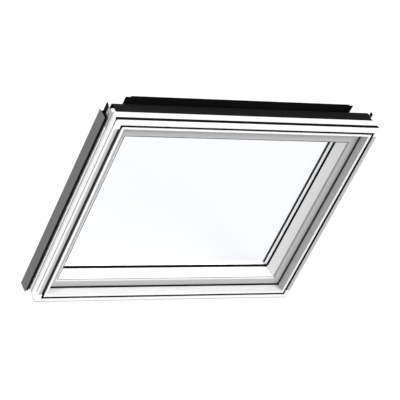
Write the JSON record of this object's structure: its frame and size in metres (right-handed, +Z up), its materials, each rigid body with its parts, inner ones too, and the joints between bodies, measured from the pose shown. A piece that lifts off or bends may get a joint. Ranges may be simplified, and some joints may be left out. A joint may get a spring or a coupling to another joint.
{
  "type": "fixed roof skylight",
  "caption": "Fixed double-glazed roof skylight: white frame and sash with a groove for the room lining, and metal claddings and glass covers on the weather side",
  "frame": {"origin": "middle of the frame's bottom face, halfway through the 70 mm depth of the frame", "axes": "+X across the window to the right as seen from the room, +Y out to the weather, +Z up the slope of the roof. A parent row leans the part back to the roof's pitch about X."},
  "size_m": [1.185, 0.121, 0.938],
  "materials": {
    "white_frame": "white satin coating",
    "white_sash": "white satin coating",
    "dowel_wood": "plain",
    "black_rubber": "matt",
    "edge_sealant": "matt",
    "clear_glass": "clear",
    "spacer_metal": "satin",
    "block_plastic": "matt",
    "black_sheet": "black satin coating",
    "grey_sheet": "grey satin coating",
    "clip_metal": "grey satin coating",
    "fixing_steel": "zinc plated"
  },
  "bodies": {
    "root": {"frame_top": "white_frame", "frame_bottom": "white_frame", "frame_left": "white_frame", "frame_right": "white_frame", "corner_dowels": "dowel_wood", "sash_top": "white_sash", "sash_bottom": "white_sash", "sash_left": "white_sash", "sash_right": "white_sash", "frame_seal_top": "black_rubber", "frame_seal_bottom": "black_rubber", "frame_seal_left": "black_rubber", "frame_seal_right": "black_rubber", "inner_pane": "clear_glass", "outer_pane": "clear_glass", "spacer_top": "spacer_metal", "spacer_bottom": "spacer_metal", "spacer_left": "spacer_metal", "spacer_right": "spacer_metal", "edge_seal_top": "edge_sealant", "edge_seal_bottom": "edge_sealant", "edge_seal_left": "edge_sealant", "edge_seal_right": "edge_sealant", "inner_gasket_top": "black_rubber", "inner_gasket_bottom": "black_rubber", "inner_gasket_left": "black_rubber", "inner_gasket_right": "black_rubber", "outer_gasket_top": "black_rubber", "outer_gasket_left": "black_rubber", "outer_gasket_right": "black_rubber", "setting_blocks": "block_plastic", "top_joint_seal": "black_rubber", "side_channel_left": "black_sheet", "side_channel_right": "black_sheet", "side_cladding_left": "grey_sheet", "side_cladding_right": "grey_sheet", "top_cladding": "black_sheet", "bottom_cladding": "grey_sheet", "side_clips": "clip_metal", "clip_screws": "fixing_steel", "glass_cover_left": "grey_sheet", "glass_cover_right": "grey_sheet", "glass_cover_top": "grey_sheet", "bottom_cover": "grey_sheet", "cover_blocks": "block_plastic", "cover_screws": "fixing_steel", "raised_top_cover": "black_sheet", "sash_brackets": "fixing_steel", "bracket_screws": "fixing_steel"}
  },
  "joints": []
}
